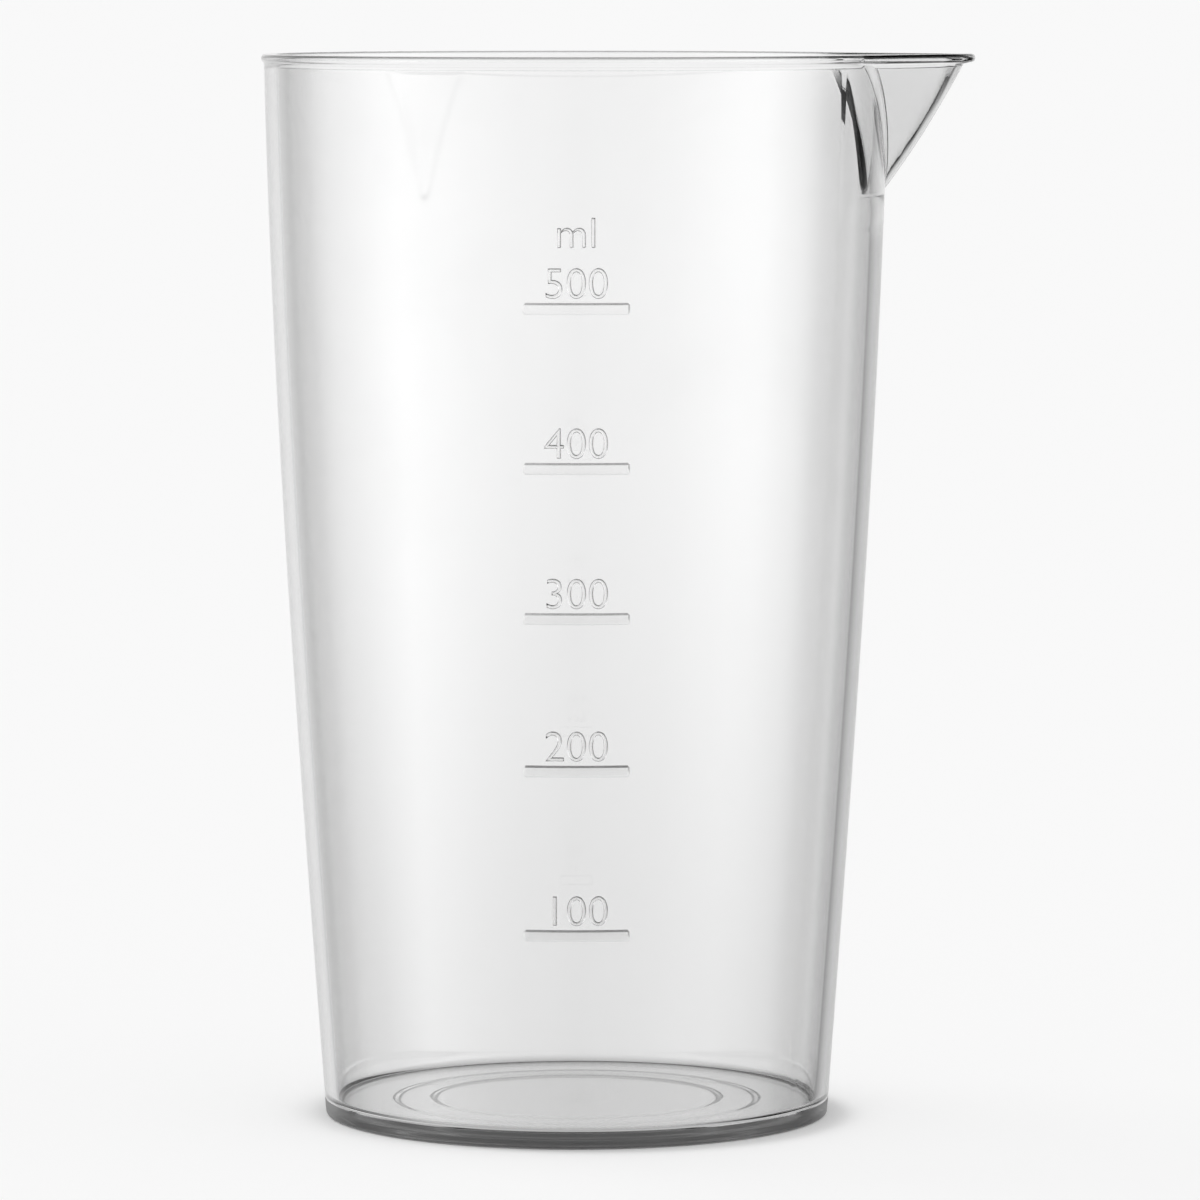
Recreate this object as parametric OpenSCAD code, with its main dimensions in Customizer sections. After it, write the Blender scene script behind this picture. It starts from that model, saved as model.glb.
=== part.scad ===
// Clear measuring beaker of an immersion blender set: one moulding in transparent plastic,
// with a curved taper, a pouring spout, a beaded rim and raised graduation bars.
// Millimetres. +Z is up, the origin is on the beaker's axis in the plane that it stands on,
// and the spout points along +X.

/* [Body] */
// Overall height, from the surface it stands on to the top of the rim
height = 149; // [130:1:165]
// Outer diameter of the wall at the base
base_d = 70.8; // [66:0.2:76]
// Outer diameter of the wall at the rim, without the bead
top_d = 87.3; // [82:0.1:94]
// How fast the side opens at the base, as a share of a straight cone's taper
taper_share = 1.32; // [1:0.02:1.45]
// Thickness of the wall, measured level
wall = 1.85; // [1.4:0.05:2.4]
// Thickness of the base at its edge
base_t = 2.3; // [2:0.1:3]
// Radius of the inner corner between wall and floor
corner_r = 1; // [0.6:0.1:1.6]
// Width of the bevel round the outer edge of the base
base_edge = 0.3; // [0.1:0.05:0.6]

/* [Foot] */
// Diameter of the shallow recess that leaves the foot ring standing
recess_d = 51.4; // [46:0.2:56]
// Depth of the shallow recess
recess_depth = 0.6; // [0.3:0.05:0.8]
// Diameter of the deeper middle of the recess
well_d = 40.8; // [34:0.2:44]
// Extra depth of that middle
well_depth = 0.5; // [0.2:0.05:0.6]

/* [Rim] */
// Height of the rounded bead round the rim
bead_h = 1.2; // [0.8:0.05:1.8]
// How far the bead stands out from the wall
bead_proud = 0.4; // [0.2:0.05:0.6]

/* [Spout] */
// How far the spout's keel stands out from the wall at the rim
spout_reach = 11.5; // [8:0.25:14]
// Depth of the spout, from the rim to where its keel meets the wall
spout_depth = 19.2; // [16:0.2:24]
// Angle between each side of the spout and its middle plane
spout_half_angle = 50.8; // [44:0.2:56]
// Outer radius of the rounded keel
keel_r = 6.5; // [4:0.25:8]
// How many degrees the keel turns over its length
keel_bend = 10; // [4:0.5:16]
// Thickness of the spout's skin
spout_wall = 1.25; // [1:0.05:1.8]
// How far the lip flares beyond the keel at the tip
lip_flare = 0.5; // [0:0.05:0.8]

/* [Scale] */
// Length of each graduation bar round the wall
bar_w = 14.5; // [8:0.5:20]
// Height of each graduation bar
bar_h = 1.65; // [1:0.05:2.5]
// How far a bar stands out from the wall
bar_proud = 0.3; // [0.15:0.05:0.5]
// Angle from the spout to the middle of the scale, clockwise seen from above
scale_turn = 94; // [80:1:100]

/* [Hidden] */

$fn = 96;
clear_plastic = [0.86, 0.88, 0.89, 0.45];
bar_plastic = [0.62, 0.66, 0.68, 0.8];

// Top edges of the bars from 100 to 500 ml, as shares of the height
mark_height_shares = [0.205, 0.357, 0.497, 0.634, 0.779];
// Number of straight stretches that make up the curved side
side_steps = 12;
// Number of straight stretches in a rounded corner
corner_steps = 6;
// How far a cut runs past the faces that it opens
overrun = 2;
// Level of the middle of the bead, where the wall and the spout's skin end inside it
bead_middle = height - bead_h / 2;

base_r = base_d / 2;
top_r = top_d / 2;

// Outer radius of the side: a cubic that leaves the base at taper_share times the slope of a
// straight cone and flattens towards the rim
function curve_r(share) = base_r + (top_r - base_r)
    * (taper_share * share - (taper_share - 1) * pow(share, 3));

// The side as stations [z, outer radius], and the outer radius between them
side_line = [for (i = [0 : side_steps]) [height * i / side_steps, curve_r(i / side_steps)]];
function side_r(z) = lookup(z, side_line);

// The keel is an arc from the wall to the rim. Its chord gives the lean, its bend the radius
foot_r = side_r(height - spout_depth);
keel_run = top_r + spout_reach - foot_r;
keel_chord = norm([keel_run, spout_depth]);
keel_lean = atan2(keel_run, spout_depth);
keel_arc_r = keel_chord / (2 * sin(keel_bend / 2));
keel_low = keel_lean + keel_bend / 2;
keel_high = keel_lean - keel_bend / 2;
keel_centre_x = top_r + spout_reach - keel_arc_r * cos(keel_high);
keel_centre_z = height + keel_arc_r * sin(keel_high);
// How far the spout's cross-section reaches back towards the beaker's axis
spout_root = spout_reach + wall + keel_r;

// The spout's outline in the plane of the rim: its half angle there, and the point where its
// sides would meet
plan_half_angle = atan(tan(spout_half_angle) * cos(keel_high));
plan_apex_gap = keel_r * (1 / sin(spout_half_angle) - 1) / cos(keel_high);
plan_nose_r = plan_apex_gap / (1 / sin(plan_half_angle) - 1);
lip_centre_x = top_r + spout_reach + lip_flare - plan_nose_r;

// Outer form of the wall and base, solid
module outer_form() {
    rotate_extrude()
        polygon(concat(
            [[0, 0], [base_r - base_edge, 0], [side_r(base_edge), base_edge]],
            [for (i = [1 : side_steps - 1]) [side_line[i][1], side_line[i][0]]],
            [[side_r(bead_middle), bead_middle], [0, bead_middle]]));
}

// The space inside, with its rounded corner, open past the rim
module cavity() {
    corner_z = base_t + corner_r;
    corner_x = side_r(corner_z) - wall - corner_r;
    rotate_extrude()
        polygon(concat(
            [[0, base_t]],
            [for (i = [0 : corner_steps])
                [corner_x + corner_r * sin(90 * i / corner_steps),
                 corner_z - corner_r * cos(90 * i / corner_steps)]],
            [for (i = [1 : side_steps]) [side_line[i][1] - wall, side_line[i][0]]],
            [[top_r - wall, height + overrun], [0, height + overrun]]));
}

// The two shallow steps under the base, each with a sloped edge as deep as the step
module foot_recess() {
    rotate_extrude()
        polygon([
            [0, -overrun],
            [recess_d / 2, -overrun],
            [recess_d / 2, 0],
            [recess_d / 2 - recess_depth, recess_depth],
            [well_d / 2, recess_depth],
            [well_d / 2 - well_depth, recess_depth + well_depth],
            [0, recess_depth + well_depth]]);
}

// Cross-section of the bead: the wall's outer face is at x = 0, the top of the rim at y = 0,
// and the section reaches a given depth into the wall
module bead_section(depth) {
    nose_x = bead_proud - bead_h / 2;
    polygon(concat(
        [[-depth, 0], [-depth, -bead_h]],
        [for (i = [0 : corner_steps])
            [nose_x + bead_h / 2 * sin(180 * i / corner_steps),
             -bead_h / 2 * (1 + cos(180 * i / corner_steps))]]));
}

module rim_bead() {
    rotate_extrude()
        translate([top_r, height])
            bead_section(wall + overrun);
}

// Cross-section of the spout, square to its keel: two straight sides and a round nose.
// x is the distance from the centre of the keel's arc
module spout_section(nose_r, inset) {
    nose_x = keel_arc_r - inset - nose_r;
    root_x = keel_arc_r - spout_root;
    touch_x = nose_x + nose_r * sin(spout_half_angle);
    touch_y = nose_r * cos(spout_half_angle);
    root_y = touch_y + (touch_x - root_x) * tan(spout_half_angle);
    translate([nose_x, 0])
        circle(r = nose_r);
    polygon([[root_x, -root_y], [touch_x, -touch_y], [touch_x, touch_y], [root_x, root_y]]);
}

// The spout's form: its cross-section carried along the keel's arc
module spout_form(nose_r, inset) {
    translate([keel_centre_x, 0, keel_centre_z])
        rotate([90, 0, 0])
            rotate([0, 0, -keel_low - keel_bend / 2])
                rotate_extrude(angle = 2 * keel_bend)
                    spout_section(nose_r, inset);
}

// The spout's lip: the outline of the spout in the plane of the rim, widened by the bead
module spout_lip() {
    nose_r = plan_nose_r + bead_proud;
    touch_x = nose_r * sin(plan_half_angle);
    touch_y = nose_r * cos(plan_half_angle);
    root_y = touch_y + (touch_x + spout_root) * tan(plan_half_angle);
    translate([lip_centre_x, 0, height - bead_h])
        linear_extrude(bead_h)
            union() {
                circle(r = nose_r);
                polygon([[-spout_root, -root_y], [touch_x, -touch_y], [touch_x, touch_y],
                         [-spout_root, root_y]]);
            }
}

module beaker() {
    color(clear_plastic)
        difference() {
            union() {
                outer_form();
                rim_bead();
                intersection() {
                    spout_form(keel_r, 0);
                    cylinder(r = top_r + spout_reach + overrun, h = bead_middle);
                }
                spout_lip();
            }
            cavity();
            spout_form(keel_r - spout_wall, spout_wall);
            foot_recess();
        }
}

// One raised bar: a short stretch of a band round the wall, its top edge at the given share
// of the height
module scale_bar(share) {
    bar_top = height * share;
    bar_low = bar_top - bar_h;
    span = bar_w / side_r(bar_top) * 180 / PI;
    color(bar_plastic)
        rotate([0, 0, -scale_turn - span / 2])
            rotate_extrude(angle = span)
                polygon([
                    [side_r(bar_low), bar_low],
                    [side_r(bar_low) + bar_proud, bar_low],
                    [side_r(bar_top) + bar_proud, bar_top],
                    [side_r(bar_top), bar_top]]);
}

beaker();
scale_bar(mark_height_shares[0]);  // scale_bar_100
scale_bar(mark_height_shares[1]);  // scale_bar_200
scale_bar(mark_height_shares[2]);  // scale_bar_300
scale_bar(mark_height_shares[3]);  // scale_bar_400
scale_bar(mark_height_shares[4]);  // scale_bar_500
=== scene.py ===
"""Clear measuring beaker with a pouring spout, a rounded rim bead and a raised scale.

The CAD model is the frame: every piece here is in its place and in metres. The clear moulding
is spun from one profile and its spout is drawn out of the wall, the raised bars and numerals
are separate reliefs that sit on the wall, and a white studio stage holds the lamps and camera.
"""

import math

import bmesh
import bpy
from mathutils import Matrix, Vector
from mathutils.kdtree import KDTree


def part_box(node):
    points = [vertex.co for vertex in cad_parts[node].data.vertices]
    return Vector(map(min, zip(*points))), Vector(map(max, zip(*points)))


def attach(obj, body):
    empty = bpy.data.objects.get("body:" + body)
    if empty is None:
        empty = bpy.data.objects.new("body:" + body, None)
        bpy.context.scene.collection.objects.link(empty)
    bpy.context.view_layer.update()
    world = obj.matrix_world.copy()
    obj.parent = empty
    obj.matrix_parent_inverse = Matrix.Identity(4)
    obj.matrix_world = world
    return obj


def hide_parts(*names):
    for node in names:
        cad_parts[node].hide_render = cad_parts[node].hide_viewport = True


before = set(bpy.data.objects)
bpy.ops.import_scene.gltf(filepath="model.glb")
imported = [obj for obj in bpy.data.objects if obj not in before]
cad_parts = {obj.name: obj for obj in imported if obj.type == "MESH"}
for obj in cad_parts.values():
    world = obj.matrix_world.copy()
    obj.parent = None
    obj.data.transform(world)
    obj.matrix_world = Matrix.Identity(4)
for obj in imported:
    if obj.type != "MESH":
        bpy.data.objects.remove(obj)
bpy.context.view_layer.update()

bl_info = {
    "name": "Measuring Beaker",
    "version": (1, 0, 0),
    "blender": (4, 5, 0),
    "location": "3D View > Sidebar > Beaker",
    "description": "Adds a clear measuring beaker with a spout and a raised scale",
    "category": "Add Mesh",
}

MM = 0.001
BARS = {mark: f"scale_bar_{mark}" for mark in (100, 200, 300, 400, 500)}
RIM_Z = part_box("beaker")[1].z

# ------------------------------------------------------------------------------------------
# How finely the pieces are drawn, and their small roundings
# ------------------------------------------------------------------------------------------

# Half of the angle round the spout that has fine steps, the steps there and round the rest
SPOUT_SPREAD = math.radians(36)
SPOUT_STEPS, REST_STEPS = 300, 130
# Heights in millimetres of the wall's lowest rows, and how many rows lie between them and the
# spout's ease, in the ease, and from the foot of the keel to the rim
LOW_ROWS = (1.0, 2.2, 4.0, 7.0, 12.0)
WALL_ROWS, EASE_ROWS, SPOUT_ROWS = 12, 10, 46
# Height over which the rows go from the plain wall to the spout, below the foot of the keel
SPOUT_EASE = 5 * MM
# Where the wall's rows end: below the bead, and above the corner inside
BEAD_GAP, CORNER_GAP = 0.25 * MM, 0.5 * MM
# Radii in millimetres of the rings under the base, and of those on the floor as shares
UNDER_RINGS = (0, 8, 15)
FLOOR_RINGS = (0.97, 0.85, 0.6, 0.3)
# Radii of the roundings: the foot's outer edge, the mouth's inner edge, and the edges of the
# steps under the base
FOOT_ROUND, MOUTH_ROUND, STEP_ROUND = 0.35 * MM, 0.45 * MM, 0.12 * MM
# Where the spout's form and the wall cross: the blend inside and outside, and the least and
# the greatest angle of that edge
INNER_BLEND, OUTER_BLEND = 0.5 * MM, 0.14 * MM
EDGE_LEAST, EDGE_MOST = math.radians(0.5), math.radians(33)
# Halvings in a search for the place where two forms meet
HALVINGS = 44
# Vertices closer than this are one
WELD, LETTER_WELD = 0.002 * MM, 0.001 * MM
# How far a bar's back lies in the wall, its chamfer, and its parts round the wall
BAR_SUNK, BAR_CHAMFER, BAR_PARTS = 0.04 * MM, 0.3 * MM, 24
# The font's height of a figure as a share of its size, half of the letters' thickness without
# their slopes, how far their outline is drawn in, and the steps of a curve
FIGURE_SHARE, LETTER_HALF, LETTER_INSET, LETTER_STEPS = 0.69, 0.04 * MM, 0.17 * MM, 6
# Edges of the bars and of the letters sharper than this stay sharp
BAR_SHARP, LETTER_SHARP = math.radians(35), math.radians(24)

# ------------------------------------------------------------------------------------------
# The plastic
# ------------------------------------------------------------------------------------------

PLASTIC_IOR = 1.57
# Shares of the lamps' light that the wall, the base and the base's outer edge let through
WALL_THROUGH, BASE_THROUGH, EDGE_THROUGH = 0.985, 0.85, 0.25
# Light that is reflected inside the plastic more often than this is let out of it
MOST_REFLECTIONS = 2.5
# Scales of the patterns: hazy clouds, fine haze, moulding waves, and the streaks in the painted
# dark band on the base's edge, with how much flatter than long these are
CLOUD_SCALE, FINE_SCALE, WAVE_SCALE, STREAK_SCALE, STREAK_FLATNESS = 60.0, 900.0, 35.0, 160.0, 9.0
# Noise levels between which a cloud begins, the fine haze's share, and what haze adds to the
# roughness
CLOUD_LEVELS, FINE_SHARE, HAZE_ROUGHNESS = (0.45, 0.8), 0.02, 0.05
# Heights between which the finish and the painted shade change: the plastic's grey towards the
# foot, the base that passes less light, the painted dark band on the base's edge, the rim's
# rounded edge with its painted shade, and the spout
GREY_HEIGHTS = (95.0 * MM, 0.0)
BASE_HEIGHTS = (6.0 * MM, 3.0 * MM)
BAND_HEIGHTS = (2.4 * MM, 2.3 * MM)
RIM_HEIGHTS = (148.3 * MM, 148.5 * MM)
SPOUT_HEIGHTS = (122.0 * MM, 126.0 * MM)
# Distances from the axis between which the base's edge begins, and along X the spout
EDGE_RADII = (34.8 * MM, 35.0 * MM)
SPOUT_REACHES = (33.5 * MM, 35.0 * MM)
# How far up a face of the rim looks: its rounded edge, where shade is painted, begins at the
# first and ends at the last
RIM_FACES, RIM_TOP_FACES = (0.45, 0.6), (0.94, 0.99)
# The marks' slopes that get painted shade look this way, up and to the right, by these amounts
MARK_FACES_WAY, MARK_FACES = (0.8, 0.0, 0.8), (0.2, 0.5)
# Strengths of the painted shade on the rim, on the marks and in the base's dark band, and of the
# band's painted streaks
RIM_SHADE, MARK_SHADE, BAND_SHADE, STREAK_SHADE = 0.75, 0.72, 0.68, 0.3

# ------------------------------------------------------------------------------------------
# The studio
# ------------------------------------------------------------------------------------------

# The soft boxes that reflections see, as one ramp round the studio: degrees round from behind
# the camera, to the right positive, and the light's level low down, level with the beaker and
# high up. A box stands at each side of the camera, with a dark gap between it and the backdrop
SOFT_BOXES = (
    (-180, 0.6, 0.9, 0.9), (-150, 0.9, 1.0, 0.9), (-135, 0.2, 0.0, 0.0), (-120, 0.2, 0.1, 0.2),
    (-105, 0.4, 0.7, 1.1), (-70, 0.7, 1.4, 1.6), (-40, 0.2, 1.0, 1.0), (0, 0.0, 0.7, 0.8),
    (40, 0.2, 1.0, 1.3), (75, 0.1, 1.3, 1.8), (105, 0.0, 0.1, 0.9), (135, 0.0, 0.0, 0.4),
    (155, 0.8, 0.7, 0.6), (180, 0.6, 0.9, 0.9))
# Slopes in degrees over which one level gives way to the next: pale floor to low down, low
# down to level, level to high up, and high up to a dark ceiling
FLOOR_SLOPES, LEVEL_SLOPES, HIGH_SLOPES, CEILING_SLOPES = (-55, -35), (-15, -7), (-3, 1), (20, 35)
# Levels of light, where 1 is white: the floor in reflections, what lights the real floor from
# all round, and what the camera sees beyond it
FLOOR_LEVEL, ROUND_LEVEL, BACKDROP_LEVEL = 0.5, 0.6, 0.94
# Name, direction it shines from, height and spread in degrees, and strength
LAMPS = (("key", -220, 50, 30, 1.1), ("fill", -30, 60, 60, 0.5))
# The floor lies a hair under the foot, so that the two faces don't fall together
FLOOR_RADIUS, FLOOR_DROP = 60.0, 0.03 * MM
# The camera's distance from the axis, its height, its tilt down and its turn to the right in
# degrees, and its focal length, measured in pixels of a frame of 1200
CAMERA_DISTANCE, CAMERA_HEIGHT, CAMERA_TILT, CAMERA_TURN = 1.0292, 0.160, 4.8645, 0.184
FOCAL_PIXELS, FRAME_PIXELS, SENSOR_WIDTH = 7346, 1200, 36.0


# ------------------------------------------------------------------------------------------
# Sizes and finishes
# ------------------------------------------------------------------------------------------

def length(name, description, millimetres):
    """A property that holds one length of the beaker."""
    return bpy.props.FloatProperty(
        name=name, description=description, default=millimetres * MM, min=0.0,
        unit="LENGTH", subtype="DISTANCE", precision=5)


def angle(name, description, degrees):
    """A property that holds one angle of the beaker."""
    return bpy.props.FloatProperty(
        name=name, description=description, default=math.radians(degrees), unit="ROTATION",
        subtype="ANGLE")


def grey(name, description, level):
    """A property that holds one colour, a plain grey by default."""
    return bpy.props.FloatVectorProperty(
        name=name, description=description, subtype="COLOR", size=3,
        default=(level, level, level), min=0.0, max=1.0)


class BeakerSizes(bpy.types.PropertyGroup):
    """Sizes of the moulding. They match the CAD model that the pieces replace."""
    height: length("Height", "From the surface it stands on to the top of the rim",
                   RIM_Z / MM)
    base_radius: length("Base Radius", "Outer radius of the wall at the base", 35.4)
    rim_radius: length("Rim Radius", "Outer radius of the wall at the rim", 43.65)
    opening: bpy.props.FloatProperty(
        name="Opening", description="Taper at the base as a share of a straight cone's",
        default=1.32, min=1.0, max=1.45, subtype="FACTOR")
    wall: length("Wall", "Thickness of the wall", 1.85)
    base: length("Base", "Thickness of the base at its edge", 2.3)
    corner: length("Corner", "Radius between the wall and the floor inside", 1.0)
    recess_radius: length("Recess Radius", "Radius of the recess under the base", 25.7)
    recess: length("Recess", "Depth of the recess under the base", 0.6)
    well_radius: length("Well Radius", "Radius of the deeper middle of the recess", 20.4)
    well: length("Well", "Extra depth of the middle of the recess", 0.5)
    bead: length("Bead", "Height of the rounded bead round the rim", 1.2)
    bead_proud: length("Bead Proud", "How far the bead stands out from the wall", 0.4)
    spout_reach: length("Spout Reach", "How far the keel stands out at the rim", 11.5)
    spout_depth: length("Spout Depth", "From the rim to the foot of the keel", 19.2)
    spout_angle: angle("Spout Angle", "From a side of the spout to its middle plane", 50.8)
    keel_radius: length("Keel Radius", "Outer radius of the rounded keel", 6.5)
    keel_bend: angle("Keel Bend", "How far the keel turns over its length", 10.0)
    spout_wall: length("Spout Wall", "Thickness of the spout's skin", 1.25)
    lip_flare: length("Lip Flare", "How far the lip flares beyond the keel", 0.5)


class ScaleSizes(bpy.types.PropertyGroup):
    """Sizes of the raised scale."""
    turn: angle("Turn", "From the spout to the middle of the scale", -94.0)
    bar_length: length("Bar Length", "Length of a bar round the wall", 14.5)
    bar_height: length("Bar Height", "Height of a bar", 1.65)
    bar_proud: length("Bar Proud", "How far a bar stands out from the wall", 0.3)
    numeral_height: length("Numeral Height", "Height of the numerals", 4.1)
    numeral_gap: length("Numeral Gap", "From a bar's top edge to its numerals", 0.6)
    numeral_proud: length("Numeral Proud", "How far the numerals stand out", 0.16)
    unit_rise: length("Unit Rise", "From the highest numerals' foot to the unit's", 6.8)


class BeakerFinish(bpy.types.PropertyGroup):
    """Finish of the clear plastic, and the colours of the painted shade on its base's edge, its
    rim and its marks.
    """
    clear: grey("Clear", "Colour of the clear plastic", 0.99)
    haze: grey("Haze", "Colour of the hazy patches, and of the plastic near the base", 0.95)
    # Painted shade: the colour of the dark band on the base's edge, which stands in for how the
    # thick base looks seen end on
    base_edge: grey("Base Edge", "Colour of the thick base seen end on", 0.13)
    # Painted shade: the colour painted on the marks' upper and right edges and on the rim's
    # rounded edge
    mark_edge: grey("Edge Shade", "Shade on the marks' upper and right edges and on the rim",
                    0.12)
    depth: bpy.props.FloatProperty(
        name="Depth", description="How strongly the plastic absorbs light, per metre",
        default=6.0, min=0.0)


class StageColours(bpy.types.PropertyGroup):
    """Colours of the studio."""
    floor: grey("Floor", "Colour of the floor", 0.94)


# ------------------------------------------------------------------------------------------
# Shader maths
# ------------------------------------------------------------------------------------------

class Value:
    """A socket in a sum: Python's operators add the Math nodes that work it out."""

    def __init__(self, shader, socket):
        self.shader = shader
        self.socket = socket

    def beside(self, name):
        """Another output of the same node."""
        return Value(self.shader, self.socket.node.outputs[name])

    def math(self, operation, *values):
        return self.shader.node("ShaderNodeMath", {"operation": operation}, *values)

    def __add__(self, other):
        return self.math("ADD", self, other)

    __radd__ = __add__

    def __sub__(self, other):
        return self.math("SUBTRACT", self, other)

    def __rsub__(self, other):
        return self.math("SUBTRACT", other, self)

    def __mul__(self, other):
        return self.math("MULTIPLY", self, other)

    __rmul__ = __mul__

    def __truediv__(self, other):
        return self.math("DIVIDE", self, other)

    def __pow__(self, other):
        return self.math("POWER", self, other)

    def above(self, level):
        """One above a level and nought below it."""
        return self.math("GREATER_THAN", self, level)

    def most(self, other):
        """The larger of two values."""
        return self.math("MAXIMUM", self, other)

    def step(self, start, end):
        """Nought at start and one at end, with a smooth change between them. End may be the
        lower of the two."""
        return self.shader.node(
            "ShaderNodeMapRange", {"interpolation_type": "SMOOTHSTEP"},
            self.socket, start, end, 0.0, 1.0)

    def rise(self, low, high):
        """Nought below one slope in degrees and one above the other, for a direction's Z."""
        low, high = math.sin(math.radians(low)), math.sin(math.radians(high))
        return self.shader.node("ShaderNodeMapRange", {}, self.socket, low, high, 0.0, 1.0)


class Shader:
    """The node tree of a material or of the world, built from empty."""

    def __init__(self, owner):
        owner.use_nodes = True
        self.tree = owner.node_tree
        self.tree.nodes.clear()

    def node(self, kind, settings, *values, output=None, **named):
        """Adds a node: its settings first, then its sockets in order, or by name with _ for a
        space. Returns the output of the given name, or else the first in use."""
        node = self.tree.nodes.new(kind)
        for key, value in settings.items():
            setattr(node, key, value)
        sockets = [s for s in node.inputs if s.enabled and not s.is_unavailable]
        pairs = list(zip(sockets, values))
        pairs += [(node.inputs[key.replace("_", " ")], value) for key, value in named.items()]
        for socket, value in pairs:
            value = value.socket if isinstance(value, Value) else value
            if isinstance(value, bpy.types.NodeSocket):
                self.tree.links.new(value, socket)
            else:
                socket.default_value = value
        outputs = [s for s in node.outputs if s.enabled and not s.is_unavailable]
        if output:
            return Value(self, node.outputs[output])
        return Value(self, outputs[0] if outputs else None)

    def mix(self, share, low, high):
        """Mixes two colours."""
        return self.node("ShaderNodeMix", {"data_type": "RGBA", "blend_type": "MIX"},
                         share, low, high)

    def mix_surfaces(self, share, low, high):
        """Mixes two surfaces."""
        return self.node("ShaderNodeMixShader", {}, share, low, high)

    def see_through(self, share):
        """A surface that lets a share of the light straight through."""
        return self.node("ShaderNodeBsdfTransparent", {}, (share, share, share, 1.0))

    def noise(self, place, scale, detail):
        return self.node("ShaderNodeTexNoise", {}, Vector=place, Scale=scale, Detail=detail)


def colour(rgb):
    """A colour property with its alpha."""
    return (*rgb, 1.0)


def clear_plastic(name, finish, haze_share, roughness):
    """Glass-clear moulded plastic: faint moulding waves, fine haze in cloudy patches, and a
    little greyer towards the base. Returns the material, its shader and its parts for what is
    added: the pattern's place, its height, the tint and the plastic itself."""
    material = bpy.data.materials.new(name)
    shader = Shader(material)
    place = shader.node("ShaderNodeTexCoord", {}, output="Object")
    height = shader.node("ShaderNodeSeparateXYZ", {}, place, output="Z")
    cloud = shader.noise(place, CLOUD_SCALE, 3.0)
    fine = shader.noise(place, FINE_SCALE, 2.0)
    haze = cloud.step(*CLOUD_LEVELS) * haze_share + fine * FINE_SHARE
    tint = shader.mix(haze.most(height.step(*GREY_HEIGHTS)), colour(finish.clear),
                      colour(finish.haze))
    waves = shader.node("ShaderNodeBump", {}, Strength=0.01, Distance=0.2 * MM,
                        Height=shader.noise(place, WAVE_SCALE, 1.0))
    plastic = shader.node("ShaderNodeBsdfPrincipled", {}, Base_Color=tint,
                          Roughness=haze * HAZE_ROUGHNESS + roughness, Normal=waves,
                          IOR=PLASTIC_IOR, Transmission_Weight=1.0)
    return material, shader, place, height, tint, plastic


def shade_plastic(shader, finish, tint, plastic, share):
    """Paints the edge shade into the plastic's colour where share says so."""
    shaded = shader.mix(share, tint, colour(finish.mark_edge))
    shader.tree.links.new(shaded.socket, plastic.socket.node.inputs["Base Color"])


def finish_plastic(shader, finish, height, surface, edge=0.0):
    """Ends a clear plastic: what light passes straight through it, and how much it absorbs.
    Edge is one on the base's outer edge."""
    # A clear wall lets most of the lamps' light through to the floor, the base less of it, and
    # the base's outer edge least
    base = height.step(*BASE_HEIGHTS)
    passing = shader.mix_surfaces(base, shader.see_through(WALL_THROUGH),
                                  shader.see_through(BASE_THROUGH))
    passing = shader.mix_surfaces(base * edge, passing, shader.see_through(EDGE_THROUGH))
    shadow = shader.node("ShaderNodeLightPath", {}, output="Is Shadow Ray")
    lighting = shadow.most(shadow.beside("Is Diffuse Ray"))
    # Light that runs on inside the wall comes out of it, where it would end in black. The
    # spout keeps its dark streaks
    spout = height.beside("X").step(*SPOUT_REACHES) * height.step(*SPOUT_HEIGHTS)
    running = shadow.beside("Glossy Depth").above(MOST_REFLECTIONS) * (1 - spout)
    surface = shader.mix_surfaces(lighting.most(running), surface, passing)
    depth = shader.node("ShaderNodeVolumeAbsorption", {}, Color=(0.0, 0.0, 0.0, 1.0),
                        Density=finish.depth)
    shader.node("ShaderNodeOutputMaterial", {}, Surface=surface, Volume=depth)


def beaker_plastic(finish):
    """The moulding's plastic, with painted shade on the rim's rounded edge, and a painted dark,
    streaky band where its thick base is seen end on from outside."""
    material, shader, place, height, tint, plastic = clear_plastic(
        "beaker_plastic", finish, haze_share=0.5, roughness=0.0)
    x, y = height.beside("X"), height.beside("Y")
    edge = ((x * x + y * y) ** 0.5).step(*EDGE_RADII)
    inside = shader.node("ShaderNodeNewGeometry", {}, output="Backfacing")
    outside = 1 - inside
    # Painted shade: the bead's rounded upper edge is painted darker than its flat top and its
    # side
    upward = shader.node("ShaderNodeSeparateXYZ", {}, inside.beside("Normal"), output="Z")
    rounded = upward.step(*RIM_FACES) * (1 - upward.step(*RIM_TOP_FACES))
    rim = rounded * height.step(*RIM_HEIGHTS) * outside
    shade_plastic(shader, finish, tint, plastic, rim * RIM_SHADE)
    # Painted shade: a dark, streaky band on the base's outer edge, seen from outside only
    stretched = shader.node("ShaderNodeMapping", {}, place, Scale=(1.0, 1.0, STREAK_FLATNESS))
    streaks = shader.noise(stretched, STREAK_SCALE, 2.0)
    band = edge * outside * height.step(*BAND_HEIGHTS) * (BAND_SHADE + streaks * STREAK_SHADE)
    # The painted dark band is a dark, rough surface mixed over the plastic
    dark = shader.node("ShaderNodeBsdfPrincipled", {}, Base_Color=colour(finish.base_edge),
                       Roughness=0.5)
    finish_plastic(shader, finish, height, shader.mix_surfaces(band, plastic, dark), edge)
    return material


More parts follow.
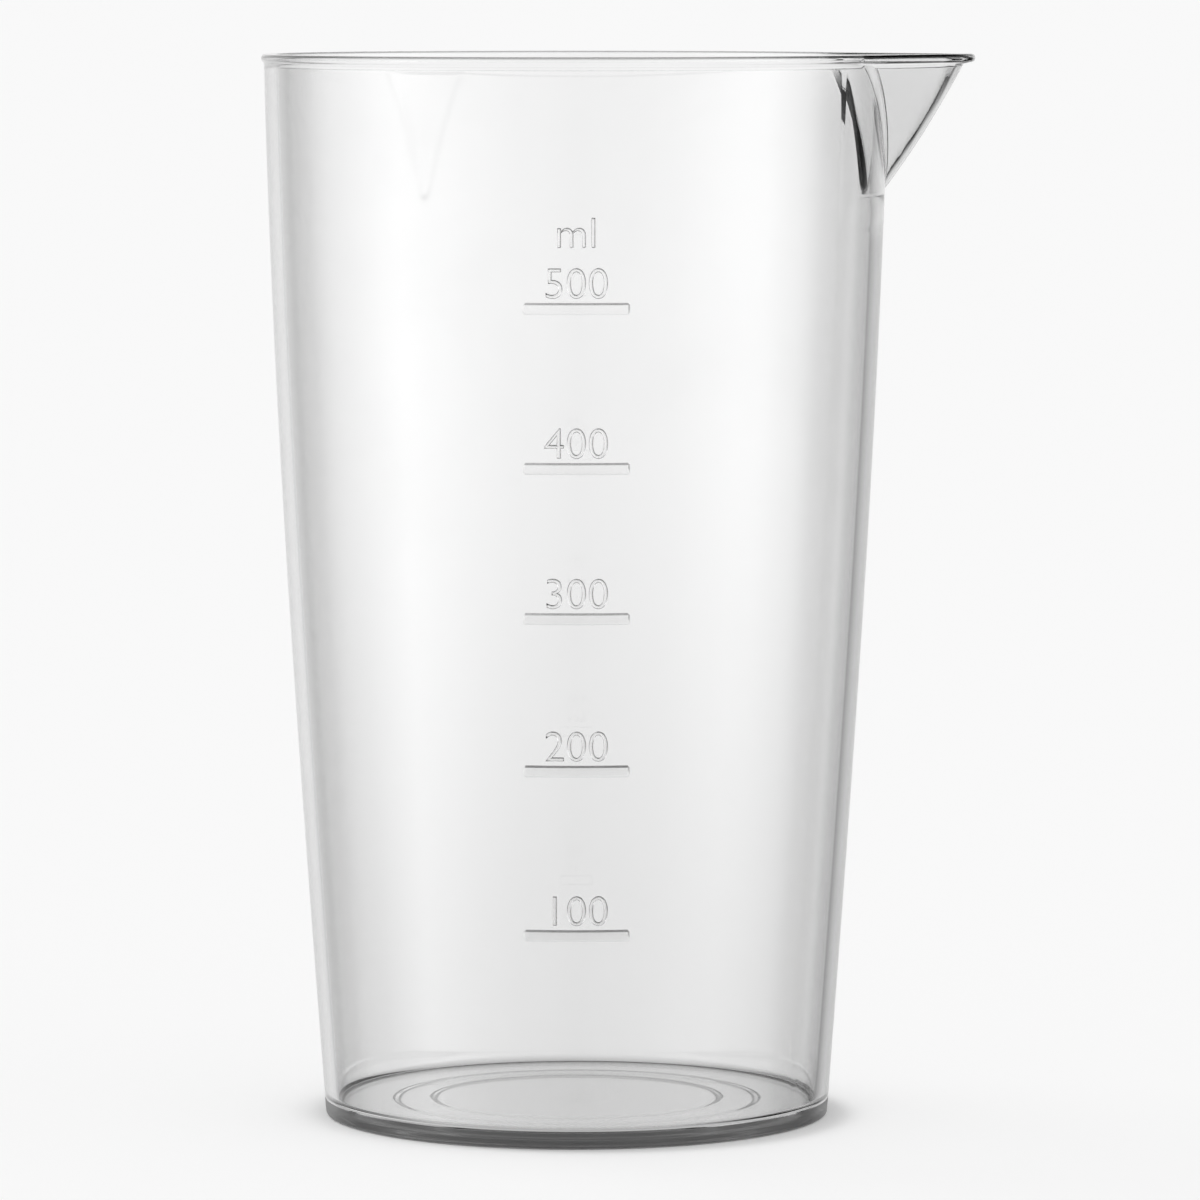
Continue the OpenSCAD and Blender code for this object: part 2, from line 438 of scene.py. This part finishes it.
def marks_plastic(finish):
    """The raised marks' plastic, with painted shade along their upper and right edges."""
    material, shader, _, height, tint, plastic = clear_plastic(
        "marks_plastic", finish, haze_share=0.6, roughness=0.02)
    # Painted shade on the slopes that face up and to the right
    normal = shader.node("ShaderNodeNewGeometry", {}, output="Normal")
    shaded = shader.node("ShaderNodeVectorMath", {"operation": "DOT_PRODUCT"}, normal,
                         MARK_FACES_WAY, output="Value").step(*MARK_FACES)
    shade_plastic(shader, finish, tint, plastic, shaded * MARK_SHADE)
    finish_plastic(shader, finish, height, plastic)
    return material


# ------------------------------------------------------------------------------------------
# Shapes
# ------------------------------------------------------------------------------------------

def arc(start, end, steps):
    """Angles in radians from one angle to another in degrees, in even steps."""
    return [math.radians(start + (end - start) * i / steps) for i in range(steps + 1)]


def side_radius(sizes, z):
    """Outer radius of the wall at a height."""
    share = z / sizes.height
    rise = sizes.opening * share - (sizes.opening - 1) * share ** 3
    return sizes.base_radius + (sizes.rim_radius - sizes.base_radius) * rise


def smooth_max(a, b, blend):
    """The larger of two radii, rounded where they cross."""
    share = max(blend - abs(a - b), 0.0) / blend
    return max(a, b) + share * share * blend / 4


def halve(low, high, further):
    """Closes in on the value up to which further is true."""
    for _ in range(HALVINGS):
        middle = (low + high) / 2
        if further(middle):
            low = middle
        else:
            high = middle
    return low


class Spout:
    """The spout's form: two straight sides and a round nose, carried along the keel's arc."""

    def __init__(self, sizes):
        foot = side_radius(sizes, sizes.height - sizes.spout_depth)
        tip = sizes.rim_radius + sizes.spout_reach
        run, depth = tip - foot, sizes.spout_depth
        high = math.atan2(run, depth) - sizes.keel_bend / 2
        self.sizes = sizes
        self.arc = math.hypot(run, depth) / (2 * math.sin(sizes.keel_bend / 2))
        self.x = tip - self.arc * math.cos(high)
        self.z = sizes.height + self.arc * math.sin(high)
        half, nose = sizes.spout_angle, sizes.keel_radius
        self.plan_half = math.atan(math.tan(half) * math.cos(high))
        gap = nose * (1 / math.sin(half) - 1) / math.cos(high)
        self.plan_nose = gap / (1 / math.sin(self.plan_half) - 1)
        self.lip_x = tip + sizes.lip_flare - self.plan_nose

    def radius(self, turn, z, skin=0.0):
        """Distance from the beaker's axis to the keel's outer face, or the skin inside it."""
        nose = self.sizes.keel_radius - skin
        middle = self.arc - skin - nose
        sine, cosine = math.sin(self.sizes.spout_angle), math.cos(self.sizes.spout_angle)
        across, along = abs(math.sin(turn)), math.cos(turn)

        def within(reach):
            """Whether a point at this distance is inside the form."""
            u = math.hypot(reach * along - self.x, z - self.z) - middle
            v = reach * across
            if v * sine < u * cosine:
                return math.hypot(u, v) <= nose
            return u * sine + v * cosine <= nose

        return halve(0.0, 2 * self.sizes.rim_radius, within)

    def lip(self, turn, proud):
        """Distance from the axis to the lip's outline in the plane of the rim."""
        nose = self.plan_nose + proud
        turn, half = abs(turn), self.plan_half
        touch = math.atan2(nose * math.cos(half), self.lip_x + nose * math.sin(half))
        if turn < touch:
            return (self.lip_x * math.cos(turn)
                    + math.sqrt(nose ** 2 - (self.lip_x * math.sin(turn)) ** 2))
        return (self.lip_x * math.sin(half) + nose) / math.sin(half + turn)


def wall_heights(sizes, spout, skin):
    """Heights of the rows of one face of the wall, close together at the foot of the keel."""
    inset = sizes.wall if skin else 0.0
    foot = sizes.height - sizes.spout_depth
    foot = halve(foot - 3 * MM, sizes.height, lambda z: (
        spout.radius(0.0, z, skin) <= side_radius(sizes, z) - inset))
    top = sizes.height - (MOUTH_ROUND if skin else sizes.bead + BEAD_GAP)
    low = LOW_ROWS[-1] * MM
    heights = [z * MM for z in LOW_ROWS]
    heights += [low + (foot - SPOUT_EASE - low) * i / WALL_ROWS
                for i in range(1, WALL_ROWS + 1)]
    heights += [foot - SPOUT_EASE * (1 - i / EASE_ROWS) ** 1.5
                for i in range(1, EASE_ROWS + 1)]
    for i in range(1, SPOUT_ROWS + 1):
        share = i / SPOUT_ROWS
        heights.append(foot + (top - foot) * (0.12 * share + 0.88 * share ** 1.35))
    return foot, heights


def beaker_profile(sizes, outer, inner):
    """The moulding's section as rows (face, radius, height), from the middle of the underside
    round the outer face, the rim and the inner face to the middle of the floor. The bead's
    radii count from the wall's outer face, and the mouth's from its inner face."""
    top = sizes.height
    deep = sizes.recess + sizes.well
    rows = [("under", r * MM, deep) for r in UNDER_RINGS]
    # The edges of the recess and of its well, each a slope with a small rounding at both ends
    ease = STEP_ROUND
    for edge, low, high in ((sizes.well_radius, sizes.recess, deep),
                            (sizes.recess_radius, 0.0, sizes.recess)):
        run = high - low
        rows += [("under", edge - run - 4 * ease, high), ("under", edge - run - ease, high),
                 ("under", edge - run, high - 0.3 * ease),
                 ("under", edge - run + ease, high - 1.1 * ease),
                 ("under", edge - ease, low + 1.1 * ease), ("under", edge, low + 0.3 * ease),
                 ("under", edge + ease, low), ("under", edge + 4 * ease, low)]
    rows.append(("under", (sizes.recess_radius + sizes.base_radius) / 2, 0.0))
    rows.append(("under", sizes.base_radius - 2 * FOOT_ROUND, 0.0))
    rows += [("under", sizes.base_radius - FOOT_ROUND + FOOT_ROUND * math.sin(t),
              FOOT_ROUND * (1 - math.cos(t))) for t in arc(0, 90, 5)]
    rows += [("outer", side_radius(sizes, z), z) for z in outer]
    # The bead's nose, up to the flat top, and the mouth's inner edge
    half = sizes.bead / 2
    rows += [("bead", sizes.bead_proud - half + half * math.cos(t),
              top - half + half * math.sin(t)) for t in arc(-62, 90.04, 12)]
    rows.append(("bead", -sizes.wall * 0.45, top))
    rows += [("mouth", MOUTH_ROUND * (1 - math.sin(t)), top - MOUTH_ROUND * (1 - math.cos(t)))
             for t in arc(0, 75, 5)]
    corner_z = sizes.base + sizes.corner
    corner_r = side_radius(sizes, corner_z) - sizes.wall - sizes.corner
    rows += [("inner", side_radius(sizes, z) - sizes.wall, z) for z in reversed(inner)
             if z > corner_z + CORNER_GAP]
    rows += [("floor", corner_r + sizes.corner * math.sin(t),
              corner_z - sizes.corner * math.cos(t)) for t in arc(90, 0, 8)]
    rows += [("floor", corner_r * share, sizes.base) for share in (*FLOOR_RINGS, 0.0)]
    return rows


class SpoutRow:
    """One row of the wall where the spout crosses it: the angle of the edge between the two
    forms, and the radius on both sides of that edge."""

    def __init__(self, sizes, spout, face, radius, z, offset, foot):
        self.wall = radius
        if face == "outer":
            self.form = lambda turn: spout.radius(turn, z)
        elif face == "bead":
            self.form = lambda turn: spout.lip(turn, offset)
        else:
            inset = offset if face == "mouth" else 0.0
            self.form = lambda turn: spout.radius(turn, z, sizes.spout_wall) + inset
        edge = halve(0.0, EDGE_MOST, lambda turn: self.form(turn) > radius)
        self.edge = max(edge, EDGE_LEAST)
        # One on the plain wall below the spout and nought from the foot of the keel upwards
        below = min(max((foot - z) / SPOUT_EASE, 0.0), 1.0)
        self.even = below * below * (3 - 2 * below)
        self.blend = INNER_BLEND if face in ("inner", "mouth") else OUTER_BLEND

    def place(self, turn):
        """Where a vertex of the row goes: its angle, drawn to the edge, and its radius."""
        side, share = math.copysign(1.0, turn), abs(turn) / SPOUT_SPREAD
        if share < 0.5:
            x = share * 2
            drawn = self.edge * (0.5 * x + 0.5 * x * x * (3 - 2 * x))
        else:
            x = share * 2 - 1
            drawn = self.edge + (SPOUT_SPREAD - self.edge) * (0.3 * x + 0.7 * x * x)
        drawn = side * (drawn * (1 - self.even) + share * SPOUT_SPREAD * self.even)
        return drawn, smooth_max(self.wall, self.form(drawn), self.blend)


def select_none():
    """Leaves object mode with nothing selected."""
    if bpy.context.object and bpy.context.object.mode != "OBJECT":
        bpy.ops.object.mode_set(mode="OBJECT")
    bpy.ops.object.select_all(action="DESELECT")


def name_piece(piece, name):
    """Names an object and its mesh."""
    piece.name = piece.data.name = name
    return piece


def add_beaker(sizes):
    """Spins the profile into the moulding and draws the spout out of its wall."""
    spout = Spout(sizes)
    outer_foot, outer = wall_heights(sizes, spout, 0.0)
    inner_foot, inner = wall_heights(sizes, spout, sizes.spout_wall)
    rows = beaker_profile(sizes, outer, inner)
    starts = {"bead": sizes.rim_radius, "mouth": sizes.rim_radius - sizes.wall}
    section = [(starts.get(face, 0.0) + r, 0, z) for face, r, z in rows]
    start = Vector((math.cos(-SPOUT_SPREAD), math.sin(-SPOUT_SPREAD), 0))
    points = [start * r + Vector((0, 0, z)) for r, _, z in section]

    # A plane drawn together to one vertex, and the profile extruded from it
    select_none()
    bpy.ops.mesh.primitive_plane_add(size=sizes.wall, location=points[0])
    beaker = bpy.context.object
    bpy.ops.object.transform_apply(location=True, rotation=True, scale=True)
    bpy.ops.object.mode_set(mode="EDIT")
    bpy.ops.mesh.merge(type="CENTER")
    for before, after in zip(points, points[1:]):
        bpy.ops.mesh.extrude_region_move(TRANSFORM_OT_translate={"value": after - before})

    # Fine steps across the spout, wider ones round the rest
    bpy.ops.mesh.select_all(action="SELECT")
    bpy.ops.mesh.spin(steps=SPOUT_STEPS, angle=2 * SPOUT_SPREAD, center=(0, 0, 0),
                      axis=(0, 0, 1))
    bpy.ops.mesh.spin(steps=REST_STEPS, angle=2 * (math.pi - SPOUT_SPREAD), center=(0, 0, 0),
                      axis=(0, 0, 1))
    bpy.ops.mesh.select_all(action="SELECT")
    bpy.ops.mesh.remove_doubles(threshold=WELD)
    bpy.ops.mesh.normals_make_consistent(inside=False)
    bpy.ops.object.mode_set(mode="OBJECT")

    # The spout: each row of the wall moves out to the keel's form where that lies further
    # out, and its vertices draw together at the edge between the two forms
    finder = KDTree(len(section))
    for i, point in enumerate(section):
        finder.insert(point, i)
    finder.balance()
    low = min(outer_foot, inner_foot) - SPOUT_EASE
    crossings = {}
    for vertex in beaker.data.vertices:
        x, y, z = vertex.co
        turn = math.atan2(y, x)
        if z < low or abs(turn) > SPOUT_SPREAD:
            continue
        i = finder.find((math.hypot(x, y), 0, z))[1]
        if i not in crossings:
            face, offset, _ = rows[i]
            crossings[i] = SpoutRow(sizes, spout, face, section[i][0], section[i][2], offset,
                                    outer_foot if face == "outer" else inner_foot)
        turn, out = crossings[i].place(turn)
        vertex.co.x, vertex.co.y = out * math.cos(turn), out * math.sin(turn)

    select_none()
    beaker.select_set(True)
    bpy.context.view_layer.objects.active = beaker
    bpy.ops.object.shade_smooth()
    return name_piece(beaker, "clear_moulding")


def lay_on_wall(piece, sizes, scale, foot):
    """Lays a flat relief on the wall: x runs round it, y up it, and z stands out from it."""
    for vertex in piece.data.vertices:
        x, y, out = vertex.co
        z = foot + y
        r = side_radius(sizes, z)
        turn = scale.turn + x / r
        r += out
        vertex.co = Vector((r * math.cos(turn), r * math.sin(turn), z))


def add_bar(sizes, scale, mark):
    """One raised bar, chamfered round its front, and its back a little way into the wall."""
    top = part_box(BARS[mark])[1].z
    select_none()
    bpy.ops.mesh.primitive_cube_add(size=1.0)
    bar = bpy.context.object
    bar.scale = (scale.bar_length, scale.bar_height, scale.bar_proud + BAR_SUNK)
    bar.location = (0, scale.bar_height / 2, (scale.bar_proud - BAR_SUNK) / 2)
    bpy.ops.object.transform_apply(location=True, rotation=True, scale=True)
    bpy.ops.object.mode_set(mode="EDIT")
    mesh = bmesh.from_edit_mesh(bar.data)
    # The edges of the front and the four that run out to it
    for edge in mesh.edges:
        edge.select = all(v.co.z > 0 for v in edge.verts) or (
            abs(edge.verts[0].co.z - edge.verts[1].co.z) > BAR_SUNK)
    bmesh.update_edit_mesh(bar.data)
    bpy.ops.mesh.bevel(offset=BAR_CHAMFER, segments=1, affect="EDGES")
    for i in range(1, BAR_PARTS):
        bpy.ops.mesh.select_all(action="SELECT")
        x = scale.bar_length * (i / BAR_PARTS - 0.5)
        bpy.ops.mesh.bisect(plane_co=(x, 0, 0), plane_no=(1, 0, 0))
    bpy.ops.mesh.select_all(action="SELECT")
    bpy.ops.mesh.normals_make_consistent(inside=False)
    bpy.ops.object.mode_set(mode="OBJECT")
    lay_on_wall(bar, sizes, scale, top - scale.bar_height)
    bpy.ops.object.shade_smooth_by_angle(angle=BAR_SHARP)
    return name_piece(bar, f"raised_bar_{mark}")


def add_lettering(sizes, scale, text, name, foot):
    """Raised numerals or the unit, made a mesh and laid on the wall."""
    select_none()
    bpy.ops.object.text_add()
    words = bpy.context.object
    words.data.body = text
    words.data.align_x = "CENTER"
    words.data.size = scale.numeral_height / FIGURE_SHARE
    words.data.extrude = LETTER_HALF
    words.data.offset = -LETTER_INSET
    words.data.bevel_depth = scale.numeral_proud
    words.data.bevel_resolution = 0
    words.data.resolution_u = LETTER_STEPS
    bpy.ops.object.convert(target="MESH")
    bpy.ops.object.mode_set(mode="EDIT")
    bpy.ops.mesh.select_all(action="SELECT")
    bpy.ops.mesh.remove_doubles(threshold=LETTER_WELD)
    bpy.ops.mesh.normals_make_consistent(inside=False)
    bpy.ops.object.mode_set(mode="OBJECT")
    high = max(v.co.z for v in words.data.vertices)
    for vertex in words.data.vertices:
        vertex.co.z += scale.numeral_proud - high
    lay_on_wall(words, sizes, scale, foot)
    bpy.ops.object.shade_smooth_by_angle(angle=LETTER_SHARP)
    return name_piece(words, name)


# ------------------------------------------------------------------------------------------
# Stage
# ------------------------------------------------------------------------------------------

def add_floor(colours):
    """The pale floor, which shows everywhere but in reflections."""
    select_none()
    bpy.ops.mesh.primitive_circle_add(vertices=64, radius=FLOOR_RADIUS, fill_type="NGON",
                                      location=(0, 0, -FLOOR_DROP))
    bpy.ops.object.transform_apply(location=True, rotation=True, scale=True)
    floor = name_piece(bpy.context.object, "floor")
    material = bpy.data.materials.new("studio_floor")
    shader = Shader(material)
    bounced = shader.node("ShaderNodeLightPath", {}, output="Glossy Depth").above(0.5)
    body = shader.node("ShaderNodeBsdfPrincipled", {}, Base_Color=colour(colours.floor),
                       Roughness=0.9, Specular_IOR_Level=0.0)
    # In reflections the studio round the small white sweep shows instead of the floor
    surface = shader.mix_surfaces(bounced, body, shader.see_through(1.0))
    shader.node("ShaderNodeOutputMaterial", {}, Surface=surface)
    floor.data.materials.append(material)


def light_studio(scene, turn):
    """The world: soft boxes for reflections, and plain levels for all other light."""
    world = bpy.data.worlds.new("studio")
    scene.world = world
    shader = Shader(world)
    seen = shader.node("ShaderNodeLightPath", {}, output="Is Camera Ray")
    bounced = seen.beside("Glossy Depth").above(0.5)
    direct = 1 - bounced
    white = seen.most(seen.beside("Is Transmission Ray") * direct)
    toward = shader.node("ShaderNodeTexCoord", {}, output="Generated")
    up = shader.node("ShaderNodeSeparateXYZ", {}, toward, output="Z")
    x, y = up.beside("X"), up.beside("Y")
    # Once round the studio, from the backdrop: half way round is behind the camera
    ahead = x * math.cos(turn) + y * math.sin(turn)
    aside = y * math.cos(turn) - x * math.sin(turn)
    round_share = aside.math("ARCTAN2", aside, ahead) / math.tau + 0.5
    ramp = shader.node("ShaderNodeValToRGB", {}, round_share, output="Color")
    stops = ramp.socket.node.color_ramp.elements
    for i, (degrees, *levels) in enumerate(SOFT_BOXES):
        stop = stops[i] if i < 2 else stops.new(1.0)
        stop.position, stop.color = degrees / 360 + 0.5, (*levels, 1)
    parts = shader.node("ShaderNodeSeparateColor", {}, ramp).socket.node.outputs
    low, middle, high = (Value(shader, part) for part in parts)
    mirrored = low + (middle - low) * up.rise(*LEVEL_SLOPES)
    mirrored = mirrored + (high - middle) * up.rise(*HIGH_SLOPES)
    mirrored = mirrored * (1 - up.rise(*CEILING_SLOPES))
    # Far down they meet the pale floor
    below = 1 - up.rise(*FLOOR_SLOPES)
    mirrored = mirrored * (1 - below) + below * FLOOR_LEVEL
    level = mirrored * bounced + direct * ROUND_LEVEL
    level = level * (1 - white) + white * BACKDROP_LEVEL
    background = shader.node("ShaderNodeBackground", {}, (1, 1, 1, 1), level)
    shader.node("ShaderNodeOutputWorld", {}, Surface=background)


def add_lamps():
    """The lamps that light the floor and cast the soft shadow."""
    for name, azimuth, height, spread, strength in LAMPS:
        bpy.ops.object.light_add(type="SUN")
        lamp = bpy.context.object
        lamp.name = name
        lamp.data.energy = strength
        lamp.data.angle = math.radians(spread)
        # The soft boxes that show in the plastic are the world's, not the lamps
        lamp.visible_glossy = lamp.visible_transmission = False
        lamp.rotation_euler = (math.radians(90 - height), 0, math.radians(azimuth + 90))


def add_camera(turn):
    """The camera, in front of the scale and just above the rim."""
    bpy.ops.object.camera_add(location=(CAMERA_DISTANCE * math.cos(turn),
                                        CAMERA_DISTANCE * math.sin(turn), CAMERA_HEIGHT))
    camera = bpy.context.object
    camera.rotation_euler = (math.radians(90 - CAMERA_TILT), 0,
                             turn + math.radians(90 - CAMERA_TURN))
    camera.data.sensor_width = SENSOR_WIDTH
    camera.data.lens = FOCAL_PIXELS / FRAME_PIXELS * SENSOR_WIDTH
    camera.data.clip_start = 0.05
    camera.data.clip_end = 200.0
    return camera


# ------------------------------------------------------------------------------------------
# Operators
# ------------------------------------------------------------------------------------------

def finish_piece(piece, material, slot, *nodes):
    """Gives a piece its material and its place in the frame."""
    piece.data.materials.clear()
    piece.data.materials.append(material)
    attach(piece, "root")
    if nodes:
        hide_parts(*nodes)


class BEAKER_OT_moulding(bpy.types.Operator):
    """Adds the clear moulding: foot, wall, spout and rim"""
    bl_idname = "beaker.moulding"
    bl_label = "Clear Moulding"

    def execute(self, context):
        scene = context.scene
        piece = add_beaker(scene.beaker_sizes)
        material = beaker_plastic(scene.beaker_finish)
        finish_piece(piece, material, "clear_plastic", "beaker")
        return {"FINISHED"}


class BEAKER_OT_scale_bars(bpy.types.Operator):
    """Adds the five raised bars of the scale"""
    bl_idname = "beaker.scale_bars"
    bl_label = "Scale Bars"

    def execute(self, context):
        scene = context.scene
        material = marks_plastic(scene.beaker_finish)
        for mark in BARS:
            piece = add_bar(scene.beaker_sizes, scene.beaker_scale, mark)
            finish_piece(piece, material, "raised_marks", BARS[mark])
        return {"FINISHED"}


class BEAKER_OT_numerals(bpy.types.Operator):
    """Adds the raised numerals over the bars and the unit over the highest"""
    bl_idname = "beaker.numerals"
    bl_label = "Numerals"

    def execute(self, context):
        scene = context.scene
        sizes, scale = scene.beaker_sizes, scene.beaker_scale
        material = bpy.data.materials["marks_plastic"]
        for mark in BARS:
            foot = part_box(BARS[mark])[1].z + scale.numeral_gap
            piece = add_lettering(sizes, scale, str(mark), f"numerals_{mark}", foot)
            finish_piece(piece, material, "raised_marks")
        piece = add_lettering(sizes, scale, "ml", "unit_ml", foot + scale.unit_rise)
        finish_piece(piece, material, "raised_marks")
        return {"FINISHED"}


class BEAKER_OT_stage(bpy.types.Operator):
    """Adds the white floor, the studio light and the camera"""
    bl_idname = "beaker.stage"
    bl_label = "Stage"

    def execute(self, context):
        scene = context.scene
        turn = scene.beaker_scale.turn
        add_floor(scene.beaker_stage)
        light_studio(scene, turn)
        add_lamps()
        scene.camera = add_camera(turn)
        scene.view_settings.view_transform = "Standard"
        scene.cycles.caustics_reflective = scene.cycles.caustics_refractive = False
        return {"FINISHED"}


class BEAKER_PT_panel(bpy.types.Panel):
    """Lists the pieces of the beaker and its stage"""
    bl_idname = "BEAKER_PT_panel"
    bl_label = "Measuring Beaker"
    bl_space_type = "VIEW_3D"
    bl_region_type = "UI"
    bl_category = "Beaker"

    def draw(self, context):
        column = self.layout.column()
        for operator in OPERATORS:
            column.operator(operator.bl_idname)


OPERATORS = (BEAKER_OT_moulding, BEAKER_OT_scale_bars, BEAKER_OT_numerals, BEAKER_OT_stage)
GROUPS = {"beaker_sizes": BeakerSizes, "beaker_scale": ScaleSizes,
          "beaker_finish": BeakerFinish, "beaker_stage": StageColours}


def register():
    for cls in (*GROUPS.values(), *OPERATORS, BEAKER_PT_panel):
        bpy.utils.register_class(cls)
    for name, group in GROUPS.items():
        setattr(bpy.types.Scene, name, bpy.props.PointerProperty(type=group))


def unregister():
    for name in GROUPS:
        delattr(bpy.types.Scene, name)
    for cls in reversed((*GROUPS.values(), *OPERATORS, BEAKER_PT_panel)):
        bpy.utils.unregister_class(cls)


def main():
    register()
    bpy.ops.beaker.moulding()
    bpy.ops.beaker.scale_bars()
    bpy.ops.beaker.numerals()
    bpy.ops.beaker.stage()


if __name__ == "__main__":
    main()
